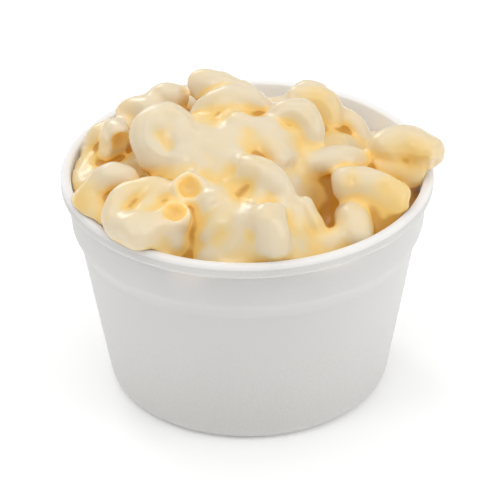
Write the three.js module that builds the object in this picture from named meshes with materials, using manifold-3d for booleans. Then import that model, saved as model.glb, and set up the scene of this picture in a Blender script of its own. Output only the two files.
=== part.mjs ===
// Mac and cheese heaped in a moulded foam bowl.
// Millimetres, +Z up. The origin is the middle of the bowl's flat underside, and the heap
// is arranged to be looked at from the -Y side.

import * as THREE from "three";
import { mergeVertices } from "three/addons/utils/BufferGeometryUtils.js";
import Module from "manifold-3d";

// Bowl, outside.
const BOWL_HEIGHT = 73;
const LIP_RADIUS = 58.5;
const LIP_DEPTH = 4.5;
const LIP_WIDTH = 3.1;
const BAND_TOP_RADIUS = 56.7;
const BAND_BOTTOM_RADIUS = 55.5;
const BAND_BOTTOM = 56.2;
const SHOULDER_RADIUS = 53.1;
const SHOULDER_BOTTOM = 51;
const FOOT_RADIUS = 44.4;
const FOOT_ROUND = 4;

// Bowl, inside.
const WALL = 2.6;
const FLOOR = 3;
const INNER_ROUND = 6;
const BOWL_SIDES = 48;

// Food: the sauce mounds up in the middle, and has hollows and rises under and between the
// pieces that lie on it, given as x, y, radius and depth (a rise has a depth below zero).
const GAP = 0.3;
const FILL = 61;
const MOUND = { x: -4, y: -4, rise: 26, spread: 60 };
const HOLLOWS = [
  [-36, -34, 10, -6],
  [-5, 5, 12, -5],
  [2, -6, 9, -3],
  [-20, -7, 8, -4.5],
  [50, -4, 9, -8],
  [36, -20, 9, -8],
  [4, -42, 14, -3],
  [25, -21, 7, 11],
  [21, -28, 8, 9],
  [-33, -9, 6, 11],
  [-17, -48.5, 5.5, 9],
  [31, 10, 6, -3],
  [-43, 4, 5, 5],
  [-50, 8, 9, -4],
  [-50, -18, 8, -6],
  [-30, 30, 14, -4],
  [20, 26, 10, -4],
  [-10, -22, 9, -2],
  [48, -26, 9, -10],
  [-9, -11, 8, -3],
  [-34, -45, 9, -7],
  [2, -49, 9, -2],
  [11, -47, 6, -4],
  [-21, -30, 5, -4],
  [-12, -35, 5, -3],
  [-21, -13, 5, -2.5],
  [-14, 4, 6, -2],
  [-49, -27, 8, -5],
  [-55, -4, 8, -3],
  [-3, -45, 7, -4],
  [12, -6, 6, -4],
  [1, -32, 7, -2.5],
  [3, -37, 5, -2],
  [-9, -35, 5, -3],
  [14.5, -38, 4.5, -5],
  [-30, -34, 5, -2.5],
  [-1, -27, 4, -3],
];
const CORE_SIDES = 36;
const CORE_RINGS = 9;

// Macaroni, thickness of the sauce on it included. sweep is the angle it bends through, and
// web the thickness of the sauce that fills the bend, as a share of the tube's.
const SHAPES = {
  arch: { bend: 10.5, sweep: 140, radius: 5, web: 0.7 },
  elbow: { bend: 7.5, sweep: 140, radius: 5.1, web: 0.7 },
  curl: { bend: 6.5, sweep: 215, radius: 4.9, web: 0.7 },
  coil: { bend: 7, sweep: 260, radius: 4.9, web: 0.95 },
  bow: { bend: 13.5, sweep: 80, radius: 5.3, web: 0.5 },
  nub: { bend: 4.5, sweep: 160, radius: 4.9, web: 0.5 },
};
const TUBE_SIDES = 8;
const TUBE_STEPS = 5;
const END_ROUND = 2.2;
const BORE_RADIUS = 2.5;
const BORE_DEPTH = 2;
const WEB_STEPS = 5;

// Each piece of macaroni on the heap: its shape and size, the x, y and z of the middle of
// its bend, the heading and pitch of the line from its end a to its end b, its roll about
// that line, and the ends whose bore is not full of sauce.
const MACARONI = [
  ["bow", 1.08, -7, 19, 91, -15, -10, 10, ""],
  ["arch", 1.05, -4, 10, 92, -5, 0, -5, ""],
  ["nub", 1.05, -26, 22, 86, -10, 15, -50, ""],
  ["elbow", 0.9, -34, 19.5, 84.5, -30, 20, -35, "a"],
  ["elbow", 0.9, -43, 13, 79, 5, 15, 40, ""],
  ["curl", 0.85, -42, 7, 81.5, 130, -65, 25, "a"],
  ["coil", 1.05, -32, -6, 88, -95, -35, 80, ""],
  ["nub", 1, -19, -6, 86.2, -95, -35, -100, ""],
  ["elbow", 1.05, -11, -4, 85, -15, 5, -65, ""],
  ["nub", 1.1, -42, -18, 80, -170, -15, -5, ""],
  ["nub", 1, -50, -19, 72, 180, -65, 5, ""],
  ["arch", 0.95, -36, -29, 81, -150, -20, 60, ""],
  ["curl", 1.02, -26.8, -41.2, 72.9, -153, -10, 170, "a"],
  ["elbow", 1.1, -32, -41.5, 76.3, -5, -5, 50, ""],
  ["nub", 0.8, -23, -41, 74, -60, -30, 0, ""],
  ["elbow", 1.05, -13, -28, 78.3, 5, -25, -145, "a"],
  ["nub", 1, -8.5, -33.5, 79.5, -60, -25, 0, ""],
  ["elbow", 1.2, 6.5, -29.5, 85.5, -50, -28, -8, ""],
  ["elbow", 1.25, 6.5, -48.5, 76.3, -80, -70, 5, ""],
  ["elbow", 0.75, -9, -42, 78, -155, -35, -10, ""],
  ["nub", 1, -10.5, -46.5, 68.5, 175, -30, -50, ""],
  ["nub", 1, -1, -45, 72, 0, -25, 35, ""],
  ["coil", 0.88, 14.6, 2, 92.4, -10, 0, -26, ""],
  ["bow", 0.95, 7, -11, 86.5, -68, -18, 45, ""],
  ["nub", 0.85, 20, -4, 84, -100, -50, -60, ""],
  ["coil", 0.98, 21, 20, 87, 0, -10, -30, ""],
  ["nub", 0.9, 20.5, 33, 81.2, 0, 0, 10, ""],
  ["elbow", 0.92, 34.5, 18, 76, -45, -45, -45, ""],
  ["elbow", 1.2, 50, -0.3, 80.8, -12, 0, -62, ""],
  ["bow", 0.8, 47, -7, 75, 0, -10, 55, ""],
  ["nub", 0.72, 51, -7, 72, 10, 10, 50, ""],
  ["arch", 1.02, 25.5, -9.6, 81, 10, 0, 30, ""],
  ["bow", 1.22, 38, -20.5, 77.2, -12, -10, 8, ""],
  ["elbow", 1.17, 32, -30, 72, 95, -5, 0, ""],
  ["bow", 0.85, 19.5, -36.3, 74.2, -20, -66, 25, ""],
  ["arch", 0.95, 23, -40, 69, 15, 5, 65, ""],
  ["bow", 0.9, -47, 9, 71, -60, -5, 45, ""],
  ["nub", 0.8, 41, -26, 67, 30, 10, 50, ""],
  ["arch", 0.9, -20, 37, 78, 10, -5, -20, ""],
  ["bow", 1, -2, 36, 76, 20, -10, 10, ""],
  ["nub", 1.1, -34, 34, 73, -40, 0, 10, "a"],
  ["elbow", 1, 28, 38, 68, -30, 0, 10, ""],
  ["bow", 0.95, 12, 45, 69, 5, 0, 20, ""],
  ["elbow", 1, -13, 49, 70, -10, 0, 40, ""],
  ["curl", 0.95, -31, 41, 70, 30, 0, 30, ""],
  ["arch", 0.9, 44, 26, 64, -60, -10, 0, ""],
  ["elbow", 1, 6, 29, 75, 60, 0, 0, ""],
  ["elbow", 0.95, 30, 0, 74, 110, 0, 10, ""],
  ["bow", 0.9, 8, 14, 80, -40, 0, 0, ""],
  ["nub", 1, -18, 28, 78, 60, 0, 0, ""],
  ["elbow", 0.95, 40, 12, 70, 100, -10, 0, ""],
  ["bow", 0.9, -46, 22, 68, 50, 0, -30, ""],
];

const wasm = await Module();
wasm.setup();

// Solids

function toSolid(geometry) {
  geometry.deleteAttribute("normal");
  geometry.deleteAttribute("uv");
  const merged = mergeVertices(geometry);
  return new wasm.Manifold(new wasm.Mesh({
    numProp: 3,
    vertProperties: merged.attributes.position.array,
    triVerts: merged.index.array,
  }));
}

function toGeometry(solid) {
  const { vertProperties, triVerts } = solid.getMesh();
  const geometry = new THREE.BufferGeometry();
  geometry.setAttribute("position", new THREE.BufferAttribute(vertProperties, 3));
  geometry.setIndex(new THREE.BufferAttribute(triVerts, 1));
  geometry.computeVertexNormals();
  return geometry;
}

// Turns a profile of [radius, height] pairs about the Z axis.
function turned(profile, sides) {
  const points = profile.map(([radius, height]) => new THREE.Vector2(radius, height));
  return new THREE.LatheGeometry(points, sides).rotateX(Math.PI / 2);
}

// Joined pieces can shut in a space between them, which comes out as a body of its own.
function largestBody(solid) {
  const bodies = solid.decompose();
  return bodies.reduce((a, b) => (b.volume() > a.volume() ? b : a));
}

// Bowl

// Points on a quarter-round corner from one profile point to another, by way of the corner.
function rounded(from, corner, to, steps = 3) {
  const [start, middle, end] = [from, corner, to].map(([r, z]) => new THREE.Vector2(r, z));
  const curve = new THREE.QuadraticBezierCurve(start, middle, end);
  return curve.getPoints(steps).map((point) => [point.x, point.y]);
}

const lipInner = LIP_RADIUS - LIP_WIDTH;
const lipBottom = BOWL_HEIGHT - LIP_DEPTH;

const outsideProfile = [
  [0, 0],
  ...rounded([FOOT_RADIUS - FOOT_ROUND, 0], [FOOT_RADIUS, 0], [FOOT_RADIUS + 0.7, FOOT_ROUND]),
  [SHOULDER_RADIUS, SHOULDER_BOTTOM],
  [BAND_BOTTOM_RADIUS, BAND_BOTTOM],
  [BAND_TOP_RADIUS, lipBottom],
  ...rounded([LIP_RADIUS - 0.6, lipBottom + 0.3], [LIP_RADIUS, lipBottom + 0.4],
    [LIP_RADIUS, lipBottom + 1.2], 2),
  ...rounded([LIP_RADIUS, BOWL_HEIGHT - 1.4], [LIP_RADIUS, BOWL_HEIGHT],
    [LIP_RADIUS - 1.4, BOWL_HEIGHT]),
];

const insideProfile = [
  ...rounded([lipInner + 0.7, BOWL_HEIGHT], [lipInner, BOWL_HEIGHT],
    [lipInner, BOWL_HEIGHT - 0.7], 2),
  [BAND_BOTTOM_RADIUS - WALL, BAND_BOTTOM],
  [SHOULDER_RADIUS - WALL, SHOULDER_BOTTOM - 1],
  ...rounded([FOOT_RADIUS - WALL + 1.2, FLOOR + INNER_ROUND], [FOOT_RADIUS - WALL, FLOOR],
    [FOOT_RADIUS - WALL - INNER_ROUND, FLOOR]),
  [0, FLOOR],
];

// Everything that the bowl leaves no room for, with a gap, up to the level of the lip. The
// food is trimmed by it, so that what lies on the lip rests on it.
function bowlSurroundings() {
  const offset = insideProfile.map(([r, z]) => [Math.max(r - GAP, 0), z + GAP]);
  const reach = 2 * LIP_RADIUS;
  const profile = [[0, -reach], [reach, -reach], [reach, BOWL_HEIGHT + GAP], ...offset];
  return toSolid(turned(profile, BOWL_SIDES));
}

// Food

function moundHeight(x, y) {
  const away = ((x - MOUND.x) ** 2 + (y - MOUND.y) ** 2) / MOUND.spread ** 2;
  let height = FILL + MOUND.rise * (1 - away);
  for (const [hollowX, hollowY, radius, depth] of HOLLOWS) {
    height -= depth * Math.exp(-((x - hollowX) ** 2 + (y - hollowY) ** 2) / radius ** 2);
  }
  return height;
}

// A disc of sauce as deep as the bowl and wider than it, whose top is raised to the mound.
function sauceCore() {
  const top = [];
  for (let ring = CORE_RINGS; ring >= 0; ring--) {
    top.push([(LIP_RADIUS * ring) / CORE_RINGS, FILL]);
  }
  const geometry = turned([[0, 0], [LIP_RADIUS, 0], ...top], CORE_SIDES);
  const position = geometry.attributes.position;
  for (let i = 0; i < position.count; i++) {
    if (position.getZ(i) > FILL / 2) {
      position.setZ(i, moundHeight(position.getX(i), position.getY(i)));
    }
  }
  return toSolid(geometry);
}

// A straight tube along Z with rounded ends, each with a blind bore if it is open.
function straightTube(length, radius, size, openEnds) {
  const half = length / 2;
  const round = END_ROUND * size;
  const end = (open) => (open
    ? [[0, half - BORE_DEPTH * size], [BORE_RADIUS * size, half - BORE_DEPTH * size],
      [BORE_RADIUS * size, half], [radius - round, half]]
    : [[0, half], [radius - round, half]]);
  const profile = end(openEnds.includes("a")).map(([r, z]) => [r, -z]);
  for (let step = 0; step <= TUBE_STEPS; step++) {
    profile.push([radius, (half - round) * ((2 * step) / TUBE_STEPS - 1)]);
  }
  profile.push(...end(openEnds.includes("b")).reverse());
  return turned(profile, TUBE_SIDES);
}

// The sauce inside a bend: a slab in the XZ plane between the arc of the tube and its chord,
// with the crest of the arc at the origin.
function web(bend, sweep, thickness) {
  const start = (Math.PI - sweep) / 2;
  const outline = new THREE.Shape();
  for (let step = 0; step <= WEB_STEPS; step++) {
    const angle = start + (sweep * step) / WEB_STEPS;
    outline[step ? "lineTo" : "moveTo"](bend * Math.cos(angle), bend * Math.sin(angle) - bend);
  }
  const slab = new THREE.ExtrudeGeometry(outline, { depth: thickness, bevelEnabled: false });
  return slab.translate(0, 0, -thickness / 2).rotateX(Math.PI / 2);
}

// Bends the tube up about a centre below it, so that it runs along X with its crest at the
// origin, and puts it in its place on the heap.
function macaroni([shape, size, x, y, z, heading, pitch, roll, openEnds]) {
  const bend = SHAPES[shape].bend * size;
  const radius = SHAPES[shape].radius * size;
  const sweep = THREE.MathUtils.degToRad(SHAPES[shape].sweep);
  const geometry = straightTube(bend * sweep, radius, size, openEnds);
  const position = geometry.attributes.position;
  for (let i = 0; i < position.count; i++) {
    const angle = position.getZ(i) / bend;
    const reach = bend - position.getX(i);
    position.setXYZ(i, reach * Math.sin(angle), position.getY(i), reach * Math.cos(angle) - bend);
  }
  const turn = new THREE.Euler(
    THREE.MathUtils.degToRad(roll),
    THREE.MathUtils.degToRad(-pitch),
    THREE.MathUtils.degToRad(heading),
    "ZYX",
  );
  const place = new THREE.Matrix4().makeRotationFromEuler(turn).setPosition(x, y, z);
  const filling = web(bend, sweep, 2 * SHAPES[shape].web * radius);
  return toSolid(geometry.applyMatrix4(place)).add(toSolid(filling.applyMatrix4(place)));
}

function heapSolid() {
  const pieces = MACARONI.map(macaroni);
  const heap = pieces.reduce((joined, piece) => joined.add(piece), sauceCore());
  return largestBody(heap.subtract(bowlSurroundings()));
}

// Scene graph

function namedMesh(name, geometry, color, roughness) {
  const material = new THREE.MeshStandardMaterial({ color, roughness, metalness: 0 });
  const mesh = new THREE.Mesh(geometry, material);
  mesh.name = name;
  return mesh;
}

const bowl = turned([...outsideProfile, ...insideProfile], BOWL_SIDES);

const macAndCheese = new THREE.Group();
macAndCheese.add(
  namedMesh("foam_bowl", bowl, 0xe9e8e5, 0.85),
  namedMesh("mac_heap", toGeometry(heapSolid()), 0xf0dcb4, 0.4),
);

export default macAndCheese;
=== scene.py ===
"""Mac and cheese in a foam bowl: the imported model, dressed and lit for a picture."""

import math

import bpy
import numpy as np
from mathutils import Matrix


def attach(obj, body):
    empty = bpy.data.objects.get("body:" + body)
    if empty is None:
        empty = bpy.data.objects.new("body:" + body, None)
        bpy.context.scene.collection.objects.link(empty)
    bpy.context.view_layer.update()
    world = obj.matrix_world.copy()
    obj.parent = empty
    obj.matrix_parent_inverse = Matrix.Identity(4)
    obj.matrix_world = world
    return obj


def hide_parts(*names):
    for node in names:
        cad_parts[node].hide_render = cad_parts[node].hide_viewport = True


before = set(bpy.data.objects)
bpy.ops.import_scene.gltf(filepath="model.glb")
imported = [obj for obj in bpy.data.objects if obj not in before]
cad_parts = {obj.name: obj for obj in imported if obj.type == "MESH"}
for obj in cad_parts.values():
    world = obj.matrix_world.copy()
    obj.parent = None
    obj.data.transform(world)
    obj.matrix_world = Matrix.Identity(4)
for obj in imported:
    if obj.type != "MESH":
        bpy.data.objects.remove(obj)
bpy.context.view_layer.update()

# Everything is in the frame of the model. Sizes are in millimetres, and become metres where a
# mesh, a material, a light or the camera is made.
MM = 0.001

# Bowl, outside.
BOWL_HEIGHT = 73
LIP_RADIUS = 58.5
LIP_DEPTH = 4.5
LIP_WIDTH = 3.1
LIP_ROUND = 1.4
LIP_EDGE = 0.5
BAND_TOP_RADIUS = 56.7
BAND_BOTTOM_RADIUS = 55.5
BAND_BOTTOM = 56.2
SHOULDER_RADIUS = 53.1
SHOULDER_BOTTOM = 51
FOOT_RADIUS = 44.4
FOOT_ROUND = 4

# Bowl, inside.
WALL = 2.6
FLOOR = 3
INNER_ROUND = 6

# Sides of the bowl, and steps in each of its rounded corners.
BOWL_SIDES = 240
CORNER_STEPS = 8

# Painted light and shade on the foam, from 0 to 1, which its colour follows: painted shade
# at the foot, where it rises from 0 to the wall's value at FOOT_SHADE_HEIGHT, and on the lip's
# outer face, LIP_SHADE less there; painted light where the lip is rounded, up to the top's
# value over LIP_TOP_REACH, and on the inner wall, 1 from INSIDE_DEPTH in from the outside.
FOOT_SHADE_HEIGHT = 25
WALL_PAINTED_LIGHT = 0.06
LIP_SHADE = 0.06
LIP_TOP_PAINTED_LIGHT = 0.5
LIP_TOP_REACH = 1.2
INSIDE_DEPTH = 2

# The lip's outer face, for its painted shade: how far in from the outside it counts, as a share
# of INSIDE_DEPTH, and how far up into the rounding.
FACE_SHARE = 0.1
FACE_REACH = 0.3

# Gap between the food and the bowl.
GAP = 0.3

# Food: the sauce fills the bowl to FILL and mounds up in the middle, and has hollows and rises
# under and between the pieces that lie on it, given as x, y, radius and depth (a rise has a
# depth below zero).
FILL = 61
MOUND_X, MOUND_Y, MOUND_RISE, MOUND_SPREAD = -4, -4, 26, 60
HOLLOWS = [
    (-36, -34, 10, -6),
    (-5, 5, 12, -5),
    (2, -6, 9, -3),
    (-20, -7, 8, -4.5),
    (50, -4, 9, -8),
    (36, -20, 9, -8),
    (4, -42, 14, -3),
    (25, -21, 7, 11),
    (21, -28, 8, 9),
    (-33, -9, 6, 11),
    (-17, -48.5, 5.5, 9),
    (31, 10, 6, -3),
    (-43, 4, 5, 5),
    (-50, 8, 9, -4),
    (-50, -18, 8, -6),
    (-30, 30, 14, -4),
    (20, 26, 10, -4),
    (-10, -22, 9, -2),
    (48, -26, 9, -10),
    (-9, -11, 8, -3),
    (-34, -45, 9, -7),
    (2, -49, 9, -2),
    (11, -47, 6, -4),
    (-21, -30, 5, -4),
    (-12, -35, 5, -3),
    (-21, -13, 5, -2.5),
    (-14, 4, 6, -2),
    (-49, -27, 8, -5),
    (-55, -4, 8, -3),
    (-3, -45, 7, -4),
    (12, -6, 6, -4),
    (1, -32, 7, -2.5),
    (3, -37, 5, -2),
    (-9, -35, 5, -3),
    (14.5, -38, 4.5, -5),
    (-30, -34, 5, -2.5),
    (-1, -27, 4, -3),
]

# The core's surface slopes, so a point is this much nearer to it than the height between them.
CORE_SLOPE = 0.8

# Macaroni, thickness of the sauce on it included: bend radius, angle that it bends through,
# radius of the tube, and the thickness of the sauce that fills the bend as a share of that.
SHAPES = {
    "arch": (10.5, 140, 5, 0.7),
    "elbow": (7.5, 140, 5.1, 0.7),
    "curl": (6.5, 215, 4.9, 0.7),
    "coil": (7, 260, 4.9, 0.95),
    "bow": (13.5, 80, 5.3, 0.5),
    "nub": (4.5, 160, 4.9, 0.5),
}

# Rounding of an end, and radius and depth of a bore, all of them at size 1.
END_ROUND = 3
BORE_RADIUS = 3
BORE_DEPTH = 3

# How far a bore's rim is rounded, and how far the sauce in a bend runs into the tube.
BORE_BLEND = 1.6
WEB_BLEND = 2.5

# Each piece of macaroni on the heap: its shape and size, the x, y and z of the middle of
# its bend, the heading and pitch of the line from its end a to its end b, its roll about
# that line, and the ends whose bore is not full of sauce.
MACARONI = [
    ("bow", 1.08, -7, 19, 91, -15, -10, 10, ""),
    ("arch", 1.05, -4, 10, 92, -5, 0, -5, ""),
    ("nub", 1.05, -26, 22, 86, -10, 15, -50, ""),
    ("elbow", 0.9, -34, 19.5, 84.5, -30, 20, -35, "a"),
    ("elbow", 0.9, -43, 13, 79, 5, 15, 40, ""),
    ("curl", 0.85, -42, 7, 81.5, 130, -65, 25, "a"),
    ("coil", 1.05, -32, -6, 88, -95, -35, 80, ""),
    ("nub", 1, -19, -6, 86.2, -95, -35, -100, ""),
    ("elbow", 1.05, -11, -4, 85, -15, 5, -65, ""),
    ("nub", 1.1, -42, -18, 80, -170, -15, -5, ""),
    ("nub", 1, -50, -19, 72, 180, -65, 5, ""),
    ("arch", 0.95, -36, -29, 81, -150, -20, 60, ""),
    ("curl", 1.02, -26.8, -41.2, 72.9, -153, -10, 170, "a"),
    ("elbow", 1.1, -32, -41.5, 76.3, -5, -5, 50, ""),
    ("nub", 0.8, -23, -41, 74, -60, -30, 0, ""),
    ("elbow", 1.05, -13, -28, 78.3, 5, -25, -145, "a"),
    ("nub", 1, -8.5, -33.5, 79.5, -60, -25, 0, ""),
    ("elbow", 1.2, 6.5, -29.5, 85.5, -50, -28, -8, ""),
    ("elbow", 1.25, 6.5, -48.5, 76.3, -80, -70, 5, ""),
    ("elbow", 0.75, -9, -42, 78, -155, -35, -10, ""),
    ("nub", 1, -10.5, -46.5, 68.5, 175, -30, -50, ""),
    ("nub", 1, -1, -45, 72, 0, -25, 35, ""),
    ("coil", 0.88, 14.6, 2, 92.4, -10, 0, -26, ""),
    ("bow", 0.95, 7, -11, 86.5, -68, -18, 45, ""),
    ("nub", 0.85, 20, -4, 84, -100, -50, -60, ""),
    ("coil", 0.98, 21, 20, 87, 0, -10, -30, ""),
    ("nub", 0.9, 20.5, 33, 81.2, 0, 0, 10, ""),
    ("elbow", 0.92, 34.5, 18, 76, -45, -45, -45, ""),
    ("elbow", 1.2, 50, -0.3, 80.8, -12, 0, -62, ""),
    ("bow", 0.8, 47, -7, 75, 0, -10, 55, ""),
    ("nub", 0.72, 51, -7, 72, 10, 10, 50, ""),
    ("arch", 1.02, 25.5, -9.6, 81, 10, 0, 30, ""),
    ("bow", 1.22, 38, -20.5, 77.2, -12, -10, 8, ""),
    ("elbow", 1.17, 32, -30, 72, 95, -5, 0, ""),
    ("bow", 0.85, 19.5, -36.3, 74.2, -20, -66, 25, ""),
    ("arch", 0.95, 23, -40, 69, 15, 5, 65, ""),
    ("bow", 0.9, -47, 9, 71, -60, -5, 45, ""),
    ("nub", 0.8, 41, -26, 67, 30, 10, 50, ""),
    ("arch", 0.9, -20, 37, 78, 10, -5, -20, ""),
    ("bow", 1, -2, 36, 76, 20, -10, 10, ""),
    ("nub", 1.1, -34, 34, 73, -40, 0, 10, "a"),
    ("elbow", 1, 28, 38, 68, -30, 0, 10, ""),
    ("bow", 0.95, 12, 45, 69, 5, 0, 20, ""),
    ("elbow", 1, -13, 49, 70, -10, 0, 40, ""),
    ("curl", 0.95, -31, 41, 70, 30, 0, 30, ""),
    ("arch", 0.9, 44, 26, 64, -60, -10, 0, ""),
    ("elbow", 1, 6, 29, 75, 60, 0, 0, ""),
    ("elbow", 0.95, 30, 0, 74, 110, 0, 10, ""),
    ("bow", 0.9, 8, 14, 80, -40, 0, 0, ""),
    ("nub", 1, -18, 28, 78, 60, 0, 0, ""),
    ("elbow", 0.95, 40, 12, 70, 100, -10, 0, ""),
    ("bow", 0.9, -46, 22, 68, 50, 0, -30, ""),
]

# Places where the sauce is thin and lets the yellow of the pasta through, some of them
# dimples, and spots of painted shade on the shaded undersides of pieces and in the valleys
# between them: x, y, z, radius and depth.
THIN_SAUCE_AND_SHADE_SPOTS = [
    (-28, -8, 90, 2, 0.3),
    (31.5, -23.2, 82.1, 2, 0.9),
    (42.5, -25.5, 80.8, 2, 0.9),
    (11, -2, 88, 2.5, 1),
    (17, 0, 88, 2.5, 1),
    (-2, -33, 84, 5, 0.6),
    (53, -8, 83, 4, 0.2),
    (21, 17, 87, 3.5, 0.3),
    (-37, 22, 83, 3, 0),
    (-13, 25, 90, 3, 0),
    (-30, -31, 79, 5, 0.5),
    (4, -20, 88, 3, 0.4),
    (2, -11, 86, 4, 0),
    (-49, -22, 70, 6, 0),
    (-39, 6, 82, 3, 0),
    (46, -27, 72, 8, 0),
    (50, -18, 71, 6, 0),
    (-47, 5, 77, 5, 0),
    (-4, -43, 76, 4, 0),
    (21, -37, 74, 4, 0),
    (-7, 1, 91, 5, 0),
    (-15.5, -31, 76, 4, 0),
    (46, -7, 79, 6, 0),
    (28, 12, 82, 5, 0),
    (-50, -23, 73, 5, 0),
    (47, -29, 68, 5, 0),
    (-8, -43, 75, 3, 0),
]

# Sauce that runs the pieces together: how far it rounds their joints everywhere, and how
# much farther where it is thickest, given as x, y, spread and the distance added.
BLEND = 2.2
THICK_SAUCE = [
    (-9, -10, 15, 3.2),
    (-1, -46, 12, 2.2),
    (3, -38, 7, 2.2),
    (-28, -5, 7, 1.5),
    (49, -5, 8, 2),
]

# Uneven thickness of the sauce: how far the lumps are apart, how deep they are, a seed, and
# whether they are deeper where the sauce is thicker. A random value of LUMPS_LEVEL leaves the
# surface where it is, and one above it sinks it.
SAUCE_LUMPS = [(8, 1.6, 3, True), (3.5, 0.6, 5, False)]
LUMPS_LEVEL = 0.35

# Painted shade in the heap: depth in the heap, which the sauce's colour follows, darker where
# more food lies round a point. The share of food around a point is blurred over a reach, and
# what it is above the share on open ground counts by a weight. Each blur is given as these
# three. The bowl's wall counts as WALL_FILL of food.
PAINTED_SHADE_BLURS = [(1.6, 0.47, 1.9), (4.5, 0.5, 2.8)]
WALL_FILL = 0.75

# How much yellower thin sauce and the spots of painted shade are and how much farther than
# their dimple this reaches, how much whiter thick sauce is for each mm of its blend, and how
# yellow a bore is and how far from it this fades out.
THIN_AND_SHADE_TINT = 0.35
THIN_SPREAD = 1.5
THICK_TINT = 0.04
BORE_TINT = 0.5
BORE_FADE = 1.5

# Grid that the food's surface is worked out on: its step and its lowest and highest corners.
GRID_STEP = 0.62
GRID_LOW = (-58.5, -58.5, 54.0)
GRID_HIGH = (63.0, 58.5, 100.0)

# How far past a piece of macaroni its distances are worked out, and the distance to a bore
# that stands for there being none near.
WINDOW_MARGIN = 3
FAR = 9.0

# Heights at which rings of points carry the food down from the grid to the bowl's floor.
LOWER_LEVELS = [50, 42, 34, 26, 18, FLOOR + INNER_ROUND, FLOOR + INNER_ROUND / 3, FLOOR + GAP]

# Colours of the foam by its painted light and shade, with how much its grain adds to that.
# Then its beads to the metre, and the relief of the seams between them by the distance from a
# seam.
FOAM_COLOURS = [
    (0.005, (0.58, 0.575, 0.56)),
    (0.065, (0.715, 0.705, 0.685)),
    (0.105, (0.745, 0.735, 0.715)),
    (0.475, (0.81, 0.805, 0.795)),
    (0.975, (0.97, 0.965, 0.955)),
]
FOAM_GRAIN = 0.05
FOAM_BEADS = 620
SEAM_RELIEF = [(0.0, (0.60, 0.60, 0.60)), (0.16, (1, 1, 1))]

# Colours of the sauce by its depth value, which is partly painted shade and partly its own
# tints: cream on the open crests, yellow where it is thin and in a bore, and orange to brown as
# painted shade in the gaps, with how much its clouds add to the depth.
SAUCE_AND_PAINTED_SHADE_COLOURS = [
    (0.16, (0.78, 0.665, 0.472)),
    (0.45, (0.845, 0.635, 0.29)),
    (0.86, (0.88, 0.57, 0.155)),
    (1.0, (0.60, 0.295, 0.035)),
]
SAUCE_CLOUDS = 0.34

# Camera: the angles and distance it looks from, what it is aimed at, how far it sees, and its
# lens and sensor.
CAMERA_ELEVATION = 31.8
CAMERA_ROLL = 0.63
CAMERA_DISTANCE = 1000
CAMERA_AIM = (0.6, 0, 42.8)
CAMERA_RANGE = 20000
LENS = 226
SENSOR_WIDTH = 36

# Studio: the floor's side, its own glow, the light from all round, and the softboxes, each
# with its place, width and height, and watts. They are all aimed at LIGHT_AIM, and LIGHT_UP is
# nearly +Y, so that none of them shines along it.
FLOOR_SIZE = 6000
FLOOR_GLOW = 0.12
WORLD_LIGHT = 0.57
LIGHT_AIM = (0, 0, 60)
LIGHT_UP = (0, 1, 0.001)
SOFTBOXES = {
    "overhead_softbox": ((-30, -20, 1000), (1500, 1300), 5.1),
    "small_softbox": ((-350, -350, 800), (160, 160), 0.45),
    "rim_softbox": ((-300, 650, 470), (300, 220), 1.0),
    "right_softbox": ((900, -300, 500), (500, 600), 1.8),
}


# Meshes and materials

def mesh_object(name, points, faces, material):
    """A smooth piece that stays with the body of the bowl."""
    mesh = bpy.data.meshes.new(name)
    mesh.from_pydata((np.asarray(points) * MM).tolist(), [], faces)
    mesh.shade_smooth()
    mesh.materials.append(material)
    piece = bpy.data.objects.new(name, mesh)
    bpy.context.scene.collection.objects.link(piece)
    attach(piece, "root")
    return piece


def add_values(piece, name, values):
    """Gives every point of the piece a value for its material to use."""
    attribute = piece.data.attributes.new(name, "FLOAT", "POINT")
    attribute.data.foreach_set("value", np.asarray(values, np.float32))


def new_material(name):
    material = bpy.data.materials.new(name)
    material.use_nodes = True
    return material, material.node_tree.nodes, material.node_tree.links


def set_inputs(node, values):
    for name, value in values.items():
        node.inputs[name].default_value = value


def noise(nodes, links, coordinates, scale, detail):
    """Noise in the object's own space, with its scale in waves to the metre."""
    node = nodes.new("ShaderNodeTexNoise")
    set_inputs(node, {"Scale": scale, "Detail": detail})
    links.new(coordinates.outputs["Object"], node.inputs["Vector"])
    return node.outputs["Fac"]


def bump(nodes, links, height, distance, strength, normal=None):
    node = nodes.new("ShaderNodeBump")
    set_inputs(node, {"Distance": distance * MM, "Strength": strength})
    links.new(height, node.inputs["Height"])
    if normal is not None:
        links.new(normal, node.inputs["Normal"])
    return node.outputs["Normal"]


def colour_ramp(nodes, links, factor, stops):
    node = nodes.new("ShaderNodeValToRGB")
    ramp = node.color_ramp
    while len(ramp.elements) < len(stops):
        ramp.elements.new(0.5)
    for element, (position, colour) in zip(ramp.elements, stops):
        element.position = position
        element.color = (*colour, 1)
    links.new(factor, node.inputs["Fac"])
    return node.outputs["Color"]


def varied(nodes, links, name, pattern, amount):
    """The value that the mesh's points have by this name, plus an amount of a pattern."""
    value = nodes.new("ShaderNodeAttribute")
    value.attribute_name = name
    mixed = nodes.new("ShaderNodeMath")
    mixed.operation = "MULTIPLY_ADD"
    mixed.inputs[1].default_value = amount
    links.new(pattern, mixed.inputs[0])
    links.new(value.outputs["Fac"], mixed.inputs[2])
    return mixed.outputs[0]


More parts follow.
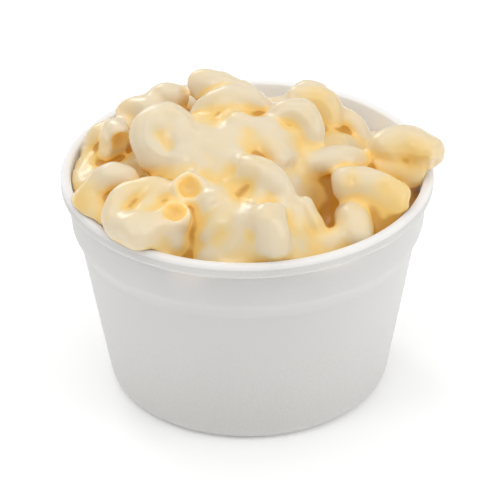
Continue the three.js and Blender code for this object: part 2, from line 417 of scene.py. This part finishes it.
def foam_material():
    """White foam of fused beads, which lets a little light through."""
    material, nodes, links = new_material("moulded_foam")
    shader = nodes["Principled BSDF"]
    coordinates = nodes.new("ShaderNodeTexCoord")
    beads = nodes.new("ShaderNodeTexVoronoi")
    beads.feature = "DISTANCE_TO_EDGE"
    set_inputs(beads, {"Scale": FOAM_BEADS})
    links.new(coordinates.outputs["Object"], beads.inputs["Vector"])
    seams = colour_ramp(nodes, links, beads.outputs["Distance"], SEAM_RELIEF)
    grain = noise(nodes, links, coordinates, scale=1500, detail=3)
    # Painted light and shade on the foam, with its grain, picks its colour.
    painted_foam_light = varied(nodes, links, "painted_foam_light", grain, FOAM_GRAIN)
    colour = colour_ramp(nodes, links, painted_foam_light, FOAM_COLOURS)
    links.new(colour, shader.inputs["Base Color"])
    normal = bump(nodes, links, seams, distance=0.04, strength=0.25)
    normal = bump(nodes, links, grain, distance=0.04, strength=0.25, normal=normal)
    links.new(normal, shader.inputs["Normal"])
    set_inputs(shader, {
        "Roughness": 0.62,
        "Specular IOR Level": 0.35,
        "Subsurface Weight": 0.85,
        "Subsurface Radius": (1, 1, 1),
        "Subsurface Scale": 7.5 * MM,
    })
    return material


def sauced_macaroni_material():
    """Wet cheese sauce, which lets light through, with painted shade that darkens it in the gaps
    and leaves it pale where it lies open.
    """
    material, nodes, links = new_material("cheese_sauce_on_macaroni")
    shader = nodes["Principled BSDF"]
    coordinates = nodes.new("ShaderNodeTexCoord")
    clouds = noise(nodes, links, coordinates, scale=110, detail=3)
    # Painted shade in the gaps, with the sauce's own tints and its clouds, picks its colour.
    depth = varied(nodes, links, "depth", clouds, SAUCE_CLOUDS)
    colour = colour_ramp(nodes, links, depth, SAUCE_AND_PAINTED_SHADE_COLOURS)
    links.new(colour, shader.inputs["Base Color"])
    ripple = noise(nodes, links, coordinates, scale=260, detail=2)
    normal = bump(nodes, links, ripple, distance=0.25, strength=0.25)
    links.new(normal, shader.inputs["Normal"])
    shader.subsurface_method = "BURLEY"
    set_inputs(shader, {
        "Roughness": 0.26,
        "Specular IOR Level": 0.4,
        "Coat Weight": 0.25,
        "Coat Roughness": 0.18,
        "Subsurface Weight": 0.9,
        "Subsurface Radius": (1.0, 0.75, 0.4),
        "Subsurface Scale": 5.5 * MM,
    })
    return material


# Bowl

def rounded(corner, before, after):
    """Points on a smooth corner, whose start and end are measured from the corner."""
    t = np.linspace(0, 1, CORNER_STEPS + 1)[:, None]
    corner = np.array(corner, float)
    start, end = corner + before, corner + after
    return ((1 - t) ** 2 * start + 2 * t * (1 - t) * corner + t ** 2 * end).tolist()


LIP_INNER = LIP_RADIUS - LIP_WIDTH
LIP_BOTTOM = BOWL_HEIGHT - LIP_DEPTH
LIP_FACE_BOTTOM = LIP_BOTTOM + LIP_EDGE
LIP_ROUND_BOTTOM = BOWL_HEIGHT - LIP_ROUND

# Half of the bowl's section, as [radius, height]. A rounded corner is given by itself and by
# where its rounding starts and ends, as measured from it.
OUTSIDE_PROFILE = [
    [0, 0],
    *rounded([FOOT_RADIUS, 0], [-FOOT_ROUND, 0], [0.7, FOOT_ROUND]),
    *rounded([SHOULDER_RADIUS, SHOULDER_BOTTOM], [-0.2, -1], [0.6, 1.2]),
    *rounded([BAND_BOTTOM_RADIUS, BAND_BOTTOM], [-0.5, -1], [0.1, 1]),
    *rounded([BAND_TOP_RADIUS, LIP_BOTTOM], [-0.1, -1], [1.2, 0.3]),
    *rounded([LIP_RADIUS, LIP_FACE_BOTTOM], [-0.4, -0.1], [0, 0.9]),
    *rounded([LIP_RADIUS, BOWL_HEIGHT], [0, -LIP_ROUND], [-LIP_ROUND, 0]),
]
INSIDE_PROFILE = [
    *rounded([LIP_INNER, BOWL_HEIGHT], [0.8, 0], [0, -0.8]),
    [BAND_BOTTOM_RADIUS - WALL, BAND_BOTTOM],
    [SHOULDER_RADIUS - WALL, SHOULDER_BOTTOM - 1],
    *rounded([FOOT_RADIUS - WALL, FLOOR], [1.2, INNER_ROUND], [-INNER_ROUND, 0]),
    [0, FLOOR],
]


def turned(profile, sides):
    """Turns a profile that starts and ends on the axis about Z."""
    angles = np.arange(sides) * 2 * math.pi / sides
    rings = profile[1:-1]
    points = [(r * math.cos(a), r * math.sin(a), z) for r, z in rings for a in angles]
    faces = []
    for ring in range(len(rings) - 1):
        low, high = ring * sides, (ring + 1) * sides
        for side in range(sides):
            beside = (side + 1) % sides
            faces.append((low + side, low + beside, high + beside, high + side))
    first, last = len(points), len(points) + 1
    points += [(0, 0, profile[0][1]), (0, 0, profile[-1][1])]
    top = (len(rings) - 1) * sides
    for side in range(sides):
        beside = (side + 1) % sides
        faces.append((first, beside, side))
        faces.append((last, top + side, top + beside))
    return points, faces


def painted_foam_light_values(points):
    """Painted light and shade on the foam at each point, from 0 to 1."""
    radius, height = np.hypot(points[:, 0], points[:, 1]), points[:, 2]
    outside = np.array(OUTSIDE_PROFILE)
    inward = (np.interp(height, outside[:, 1], outside[:, 0]) - radius) / INSIDE_DEPTH
    # Painted shade at the foot and on the lip's outer face, painted light inside and on the lip's
    # top.
    wall = WALL_PAINTED_LIGHT * np.clip(height / FOOT_SHADE_HEIGHT, 0, 1)
    inside = np.clip(inward, 0, 1) * (height < LIP_ROUND_BOTTOM)
    lip_top = LIP_TOP_PAINTED_LIGHT * np.clip((height - LIP_ROUND_BOTTOM) / LIP_TOP_REACH, 0, 1)
    lip_face = (inward < FACE_SHARE) & (height > LIP_FACE_BOTTOM)
    lip_face &= height < LIP_ROUND_BOTTOM + FACE_REACH
    return np.maximum(wall, np.maximum(inside, lip_top)) - LIP_SHADE * lip_face


def make_bowl():
    points, faces = turned(OUTSIDE_PROFILE + INSIDE_PROFILE, BOWL_SIDES)
    bowl = mesh_object("moulded_foam_bowl", points, faces, foam_material())
    # The foam's painted light and shade, for its colour.
    add_values(bowl, "painted_foam_light", painted_foam_light_values(np.array(points)))
    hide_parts("foam_bowl")


# Food, as a field of distances: below zero inside the food

def smooth_min(a, b, blend):
    """The lesser of two distances, rounded over blend where they meet."""
    share = np.clip(0.5 + 0.5 * (b - a) / blend, 0, 1)
    return b * (1 - share) + a * share - blend * share * (1 - share)


def smooth_max(a, b, blend):
    return -smooth_min(-a, -b, blend)


def core_height(x, y):
    """Height of the mound of sauce under the macaroni."""
    away = ((x - MOUND_X) ** 2 + (y - MOUND_Y) ** 2) / MOUND_SPREAD ** 2
    height = FILL + MOUND_RISE * (1 - away)
    for hollow_x, hollow_y, radius, depth in HOLLOWS:
        away = ((x - hollow_x) ** 2 + (y - hollow_y) ** 2) / radius ** 2
        height = height - depth * np.exp(-away)
    return height


def inner_radius(z):
    """Radius of the food at a height: the bowl's inside, less the gap."""
    wall = [point for point in INSIDE_PROFILE if point[0] > 0][::-1]
    return np.interp(z, [height for _, height in wall], [radius for radius, _ in wall]) - GAP


def directions(heading, pitch, roll):
    """The directions of a piece's chord and of its crest, and the one across them."""
    h, p, r = (math.radians(angle) for angle in (heading, pitch, roll))
    chord = np.array([math.cos(h) * math.cos(p), math.sin(h) * math.cos(p), math.sin(p)])
    up = np.array([-math.cos(h) * math.sin(p), -math.sin(h) * math.sin(p), math.cos(p)])
    crest = up * math.cos(r) + np.cross(chord, up) * math.sin(r)
    return chord, crest, np.cross(chord, crest)


def macaroni_distance(points, row):
    """Distances from the points to a bent tube with round ends, and to its open bores."""
    shape, size, x, y, z, heading, pitch, roll, open_ends = row
    bend, sweep, radius, web_share = SHAPES[shape]
    bend, radius, half = bend * size, radius * size, math.radians(sweep) / 2

    # The points in the tube's own directions, from the centre that it bends about.
    chord, crest, across = directions(heading, pitch, roll)
    spot = points - (np.array([x, y, z]) - crest * bend)
    along, up, off = spot @ chord, spot @ crest, spot @ across
    angle, reach = np.arctan2(along, up), np.hypot(along, up)
    side = np.where(along >= 0, 1.0, -1.0)

    # Distances off the tube's axis and past its nearer end. Beyond an end the axis goes on
    # straight.
    end_along, end_up = side * bend * math.sin(half), bend * math.cos(half)
    past = (along - end_along) * side * math.cos(half) - (up - end_up) * math.sin(half)
    to_end = (along - end_along) ** 2 + (up - end_up) ** 2 + off ** 2
    straight = np.sqrt(np.maximum(to_end - past ** 2, 0))
    on_arc = np.abs(angle) <= half
    off_axis = np.where(on_arc, np.hypot(reach - bend, off), straight)
    past = np.where(on_arc, bend * (np.abs(angle) - half), past)

    # The tube, and the sauce that fills its bend.
    out = off_axis - (radius - END_ROUND * size)
    beyond = past + END_ROUND * size
    tube = np.minimum(np.maximum(out, beyond), 0)
    tube = tube + np.hypot(np.maximum(out, 0), np.maximum(beyond, 0)) - END_ROUND * size
    in_bend = np.maximum(reach - bend, bend * math.cos(half) - up)
    web = np.maximum(np.abs(off) - radius * web_share, in_bend)
    tube = smooth_min(tube, web, WEB_BLEND)

    # The bores, with round bottoms.
    sunk = np.minimum(past, 0) * BORE_RADIUS / BORE_DEPTH
    round_bottomed = np.hypot(off_axis, sunk) - BORE_RADIUS * size
    bore = np.full(tube.shape, FAR)
    for name, which in (("a", side < 0), ("b", side > 0)):
        if name in open_ends:
            bore = np.where(which, np.minimum(bore, round_bottomed), bore)
    return tube, bore


def lumps(axes, spacing, seed):
    """Smooth random values from 0 to 1 over the grid, spacing mm from one lump to the next."""
    steps = [(axis - axis[0]) / spacing for axis in axes]
    volume = np.random.default_rng(seed).random([int(step[-1]) + 2 for step in steps])
    for direction, step in enumerate(steps):
        base = step.astype(int)
        part = (step - base) ** 2 * (3 - 2 * (step - base))
        part = part.reshape([-1 if i == direction else 1 for i in range(3)])
        low, high = volume.take(base, direction), volume.take(base + 1, direction)
        volume = low + part * (high - low)
    return volume


def sauce_thickness(x, y):
    """How much farther than elsewhere the sauce rounds the joints at x, y."""
    return sum(
        added * np.exp(-((x - thick_x) ** 2 + (y - thick_y) ** 2) / spread ** 2)
        for thick_x, thick_y, spread, added in THICK_SAUCE
    )


def window_round(row, axes):
    """The part of the grid that holds a piece of macaroni and the sauce round it."""
    shape, size, *middle = row[:5]
    bend, _, radius, _ = SHAPES[shape]
    reach = (2 * bend + radius) * size + WINDOW_MARGIN
    return tuple(
        slice(*np.searchsorted(axis, (centre - reach, centre + reach)))
        for axis, centre in zip(axes, middle)
    )


def food_field():
    """The field of the food on the grid, the distances to the bores, and the grid's axes."""
    axes = [np.arange(low, high, GRID_STEP) for low, high in zip(GRID_LOW, GRID_HIGH)]
    x, y, z = np.meshgrid(*axes, indexing="ij", sparse=True)
    field = (z - core_height(x, y)) * CORE_SLOPE
    bores = np.full(field.shape, FAR)
    blend = BLEND + sauce_thickness(x, y)
    for row in MACARONI:
        window = window_round(row, axes)
        near = [axis[part] for axis, part in zip(axes, window)]
        tube, bore = macaroni_distance(np.stack(np.meshgrid(*near, indexing="ij"), -1), row)
        field[window] = smooth_min(field[window], tube, blend[window[:2]])
        bores[window] = np.minimum(bores[window], bore)
    field = smooth_max(field, -bores, BORE_BLEND)
    for thin_x, thin_y, thin_z, radius, depth in THIN_SAUCE_AND_SHADE_SPOTS:
        away = (x - thin_x) ** 2 + (y - thin_y) ** 2 + (z - thin_z) ** 2
        field += depth * np.exp(-away / radius ** 2)
    for spacing, depth, seed, grows in SAUCE_LUMPS:
        growth = blend / BLEND if grows else 1
        field += depth * (lumps(axes, spacing, seed) - LUMPS_LEVEL) * growth
    wall = np.hypot(x, y) - inner_radius(np.minimum(z, BOWL_HEIGHT))
    over_lip = BOWL_HEIGHT + GAP - z
    return np.maximum(field, np.minimum(wall, over_lip)), bores, axes


def net_points(field, axes, cells):
    """In each cell, the mean of the places where the surface crosses the cell's edges."""
    total, hits = np.zeros((len(cells), 3)), np.zeros(len(cells))
    for axis, along in enumerate(np.eye(3, dtype=int)):
        for corner in np.ndindex(2, 2, 2):
            if corner[axis]:
                continue
            start = cells + corner
            at_start, at_end = field[tuple(start.T)], field[tuple((start + along).T)]
            crossed = (at_start < 0) != (at_end < 0)
            part = np.where(crossed, at_start / np.where(crossed, at_start - at_end, 1), 0)
            total += (start + part[:, None] * along) * crossed[:, None]
            hits += crossed
    spot = total / hits[:, None]
    return np.stack([axes[i][0] + spot[:, i] * GRID_STEP for i in range(3)], -1)


def net_faces(inside, index):
    """Joins the points of the four cells round every grid edge that the surface crosses."""
    faces = []
    for axis in range(3):
        first, second = (axis + 1) % 3, (axis + 2) % 3
        low, high = [slice(None)] * 3, [slice(None)] * 3
        low[axis], high[axis] = slice(0, -1), slice(1, None)
        for across in (first, second):
            low[across] = high[across] = slice(1, -1)
        start, end = inside[tuple(low)], inside[tuple(high)]
        for crossed, flipped in ((start & ~end, False), (~start & end, True)):
            edges = np.argwhere(crossed)
            edges[:, first] += 1
            edges[:, second] += 1
            ring = []
            for back_first, back_second in ((1, 1), (0, 1), (0, 0), (1, 0)):
                cell = edges.copy()
                cell[:, first] -= back_first
                cell[:, second] -= back_second
                ring.append(index[tuple(cell.T)])
            faces.append(np.stack(ring[::-1] if flipped else ring, -1))
    return np.concatenate(faces)


def surface_net(field, axes):
    """A point in every grid cell that the surface crosses, the faces, and those cells."""
    inside = field < 0
    counts = np.zeros([size - 1 for size in field.shape], np.int8)
    for corner in np.ndindex(2, 2, 2):
        counts += inside[tuple(slice(c, size - 1 + c) for c, size in zip(corner, field.shape))]
    cells = np.argwhere((counts > 0) & (counts < 8))
    index = np.full(counts.shape, -1)
    index[tuple(cells.T)] = np.arange(len(cells))
    return net_points(field, axes, cells), net_faces(inside, index), cells


def box_blur(volume, reach):
    """Mean over a cube that reaches this far each way, the outermost layers going on outside."""
    layers = max(1, round(reach / GRID_STEP))
    width = 2 * layers + 1
    for axis in range(3):
        size = volume.shape[axis]
        before = np.repeat(volume.take([0], axis), layers + 1, axis)
        after = np.repeat(volume.take([-1], axis), layers, axis)
        total = np.cumsum(np.concatenate([before, volume, after], axis), axis)
        upper = total.take(range(width, width + size), axis)
        lower = total.take(range(size), axis)
        volume = (upper - lower) / width
    return volume


def sample(volume, axes, points):
    """The volume's value at points, linear between the grid's."""
    spot = (points - [axis[0] for axis in axes]) / GRID_STEP
    base = np.clip(spot.astype(int), 0, np.array(volume.shape) - 2)
    part = np.clip(spot - base, 0, 1)
    value = np.zeros(len(points))
    for corner in np.ndindex(2, 2, 2):
        weight = np.prod(np.where(corner, part, 1 - part), axis=1)
        value += weight * volume[tuple((base + corner).T)]
    return value


def close_below(points, faces, cells):
    """Carries the open lower edge of the food down the bowl's wall and across its floor."""
    edge = np.flatnonzero(cells[:, 2] == 0)
    angle = np.arctan2(points[edge, 1], points[edge, 0])
    order = np.argsort(angle)
    edge, angle = edge[order], angle[order]
    ring, count = edge, len(points)
    more_points, more_faces = [], []
    for z in LOWER_LEVELS:
        radius = inner_radius(z)
        heights = np.full(len(edge), float(z))
        more_points.append(np.stack([radius * np.cos(angle), radius * np.sin(angle), heights], -1))
        below = count + np.arange(len(edge))
        more_faces.append(np.stack([ring, below, np.roll(below, -1), np.roll(ring, -1)], -1))
        ring = below
        count += len(edge)
    more_points.append([[0, 0, LOWER_LEVELS[-1]]])
    cap = [(count, b, a) for a, b in zip(ring.tolist(), np.roll(ring, -1).tolist())]
    quads = np.concatenate([faces, *more_faces]).tolist()
    return np.concatenate([points, *more_points]), quads + cap


def painted_shade_and_tints(points, field, bores, axes):
    """Painted shade: how deep in the heap each point lies, from 0 to 1, darker in the gaps, with
    the tints of sauce and bores and the spots of painted shade added.
    """
    x, y, z = np.meshgrid(*axes, indexing="ij", sparse=True)
    walled = (np.hypot(x, y) > inner_radius(np.minimum(z, BOWL_HEIGHT))) & (z < BOWL_HEIGHT)
    filled = np.where(field < 0, 1.0, np.where(walled, WALL_FILL, 0.0))
    depth = np.zeros(len(points))
    # Painted shade: the more food round a point, the darker.
    for reach, open_share, weight in PAINTED_SHADE_BLURS:
        around = sample(box_blur(box_blur(filled, reach), reach), axes, points)
        depth += (around - open_share) * weight
    depth = np.clip(depth, 0, 1)
    in_bore = np.clip(1 - sample(bores, axes, points) / BORE_FADE, 0, 1)
    depth += (BORE_TINT - depth) * in_bore
    # Yellower where the sauce is thin, and darker at the spots of painted shade.
    for thin_x, thin_y, thin_z, radius, _ in THIN_SAUCE_AND_SHADE_SPOTS:
        away = np.sum((points - (thin_x, thin_y, thin_z)) ** 2, axis=1)
        depth += THIN_AND_SHADE_TINT * np.exp(-away / (THIN_SPREAD * radius) ** 2)
    depth -= THICK_TINT * sauce_thickness(points[:, 0], points[:, 1])
    return np.clip(depth, 0, 1)


def make_food():
    field, bores, axes = food_field()
    points, faces, cells = surface_net(field, axes)
    depth = painted_shade_and_tints(points, field, bores, axes)
    points, faces = close_below(points, faces, cells)
    hidden = np.zeros(len(points) - len(depth))
    food = mesh_object("macaroni_in_cheese_sauce", points, faces,
                       sauced_macaroni_material())
    # The food's painted shade and tints, for its colour.
    add_values(food, "depth", np.concatenate([depth, hidden]))
    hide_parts("mac_heap")


# Studio

def make_camera():
    data = bpy.data.cameras.new("camera")
    data.lens = LENS
    data.sensor_width = SENSOR_WIDTH
    data.clip_end = CAMERA_RANGE * MM
    camera = bpy.data.objects.new("camera", data)
    bpy.context.scene.collection.objects.link(camera)
    elevation = math.radians(CAMERA_ELEVATION)
    back = np.array([0, -math.cos(elevation), math.sin(elevation)])
    place = Matrix.Translation((np.array(CAMERA_AIM) + back * CAMERA_DISTANCE) * MM)
    tilt = Matrix.Rotation(math.radians(90 - CAMERA_ELEVATION), 4, "X")
    roll = Matrix.Rotation(math.radians(-CAMERA_ROLL), 4, "Z")
    camera.matrix_world = place @ tilt @ roll
    bpy.context.scene.camera = camera


def make_floor():
    half = FLOOR_SIZE / 2
    corners = [(-half, -half, 0), (half, -half, 0), (half, half, 0), (-half, half, 0)]
    mesh = bpy.data.meshes.new("floor")
    mesh.from_pydata((np.array(corners) * MM).tolist(), [], [(0, 1, 2, 3)])
    material, nodes, _ = new_material("white_sweep")
    set_inputs(nodes["Principled BSDF"], {
        "Base Color": (0.97, 0.97, 0.97, 1),
        "Emission Color": (1, 1, 1, 1),
        "Emission Strength": FLOOR_GLOW,
        "Roughness": 0.9,
        "Specular IOR Level": 0.1,
    })
    mesh.materials.append(material)
    floor = bpy.data.objects.new("floor", mesh)
    bpy.context.scene.collection.objects.link(floor)


def area_light(name, place, size, watts):
    """A softbox at this place, turned towards LIGHT_AIM."""
    data = bpy.data.lights.new(name, "AREA")
    data.shape = "RECTANGLE"
    data.size, data.size_y = size[0] * MM, size[1] * MM
    data.energy = watts
    light = bpy.data.objects.new(name, data)
    bpy.context.scene.collection.objects.link(light)
    place, aim = np.array(place, float), np.array(LIGHT_AIM, float)
    direction = (aim - place) / np.linalg.norm(aim - place)
    side = np.cross(direction, LIGHT_UP)
    side /= np.linalg.norm(side)
    up = np.cross(side, direction)
    turn = Matrix(np.stack([side, up, -direction], 1).tolist()).to_4x4()
    light.matrix_world = Matrix.Translation(place * MM) @ turn


def make_lights():
    world = bpy.data.worlds.new("studio")
    world.use_nodes = True
    set_inputs(world.node_tree.nodes["Background"], {
        "Color": (1, 1, 1, 1),
        "Strength": WORLD_LIGHT,
    })
    bpy.context.scene.world = world
    for name, (place, size, watts) in SOFTBOXES.items():
        area_light(name, place, size, watts)


make_camera()
make_bowl()
make_food()
make_floor()
make_lights()
bpy.context.scene.view_settings.view_transform = "Standard"
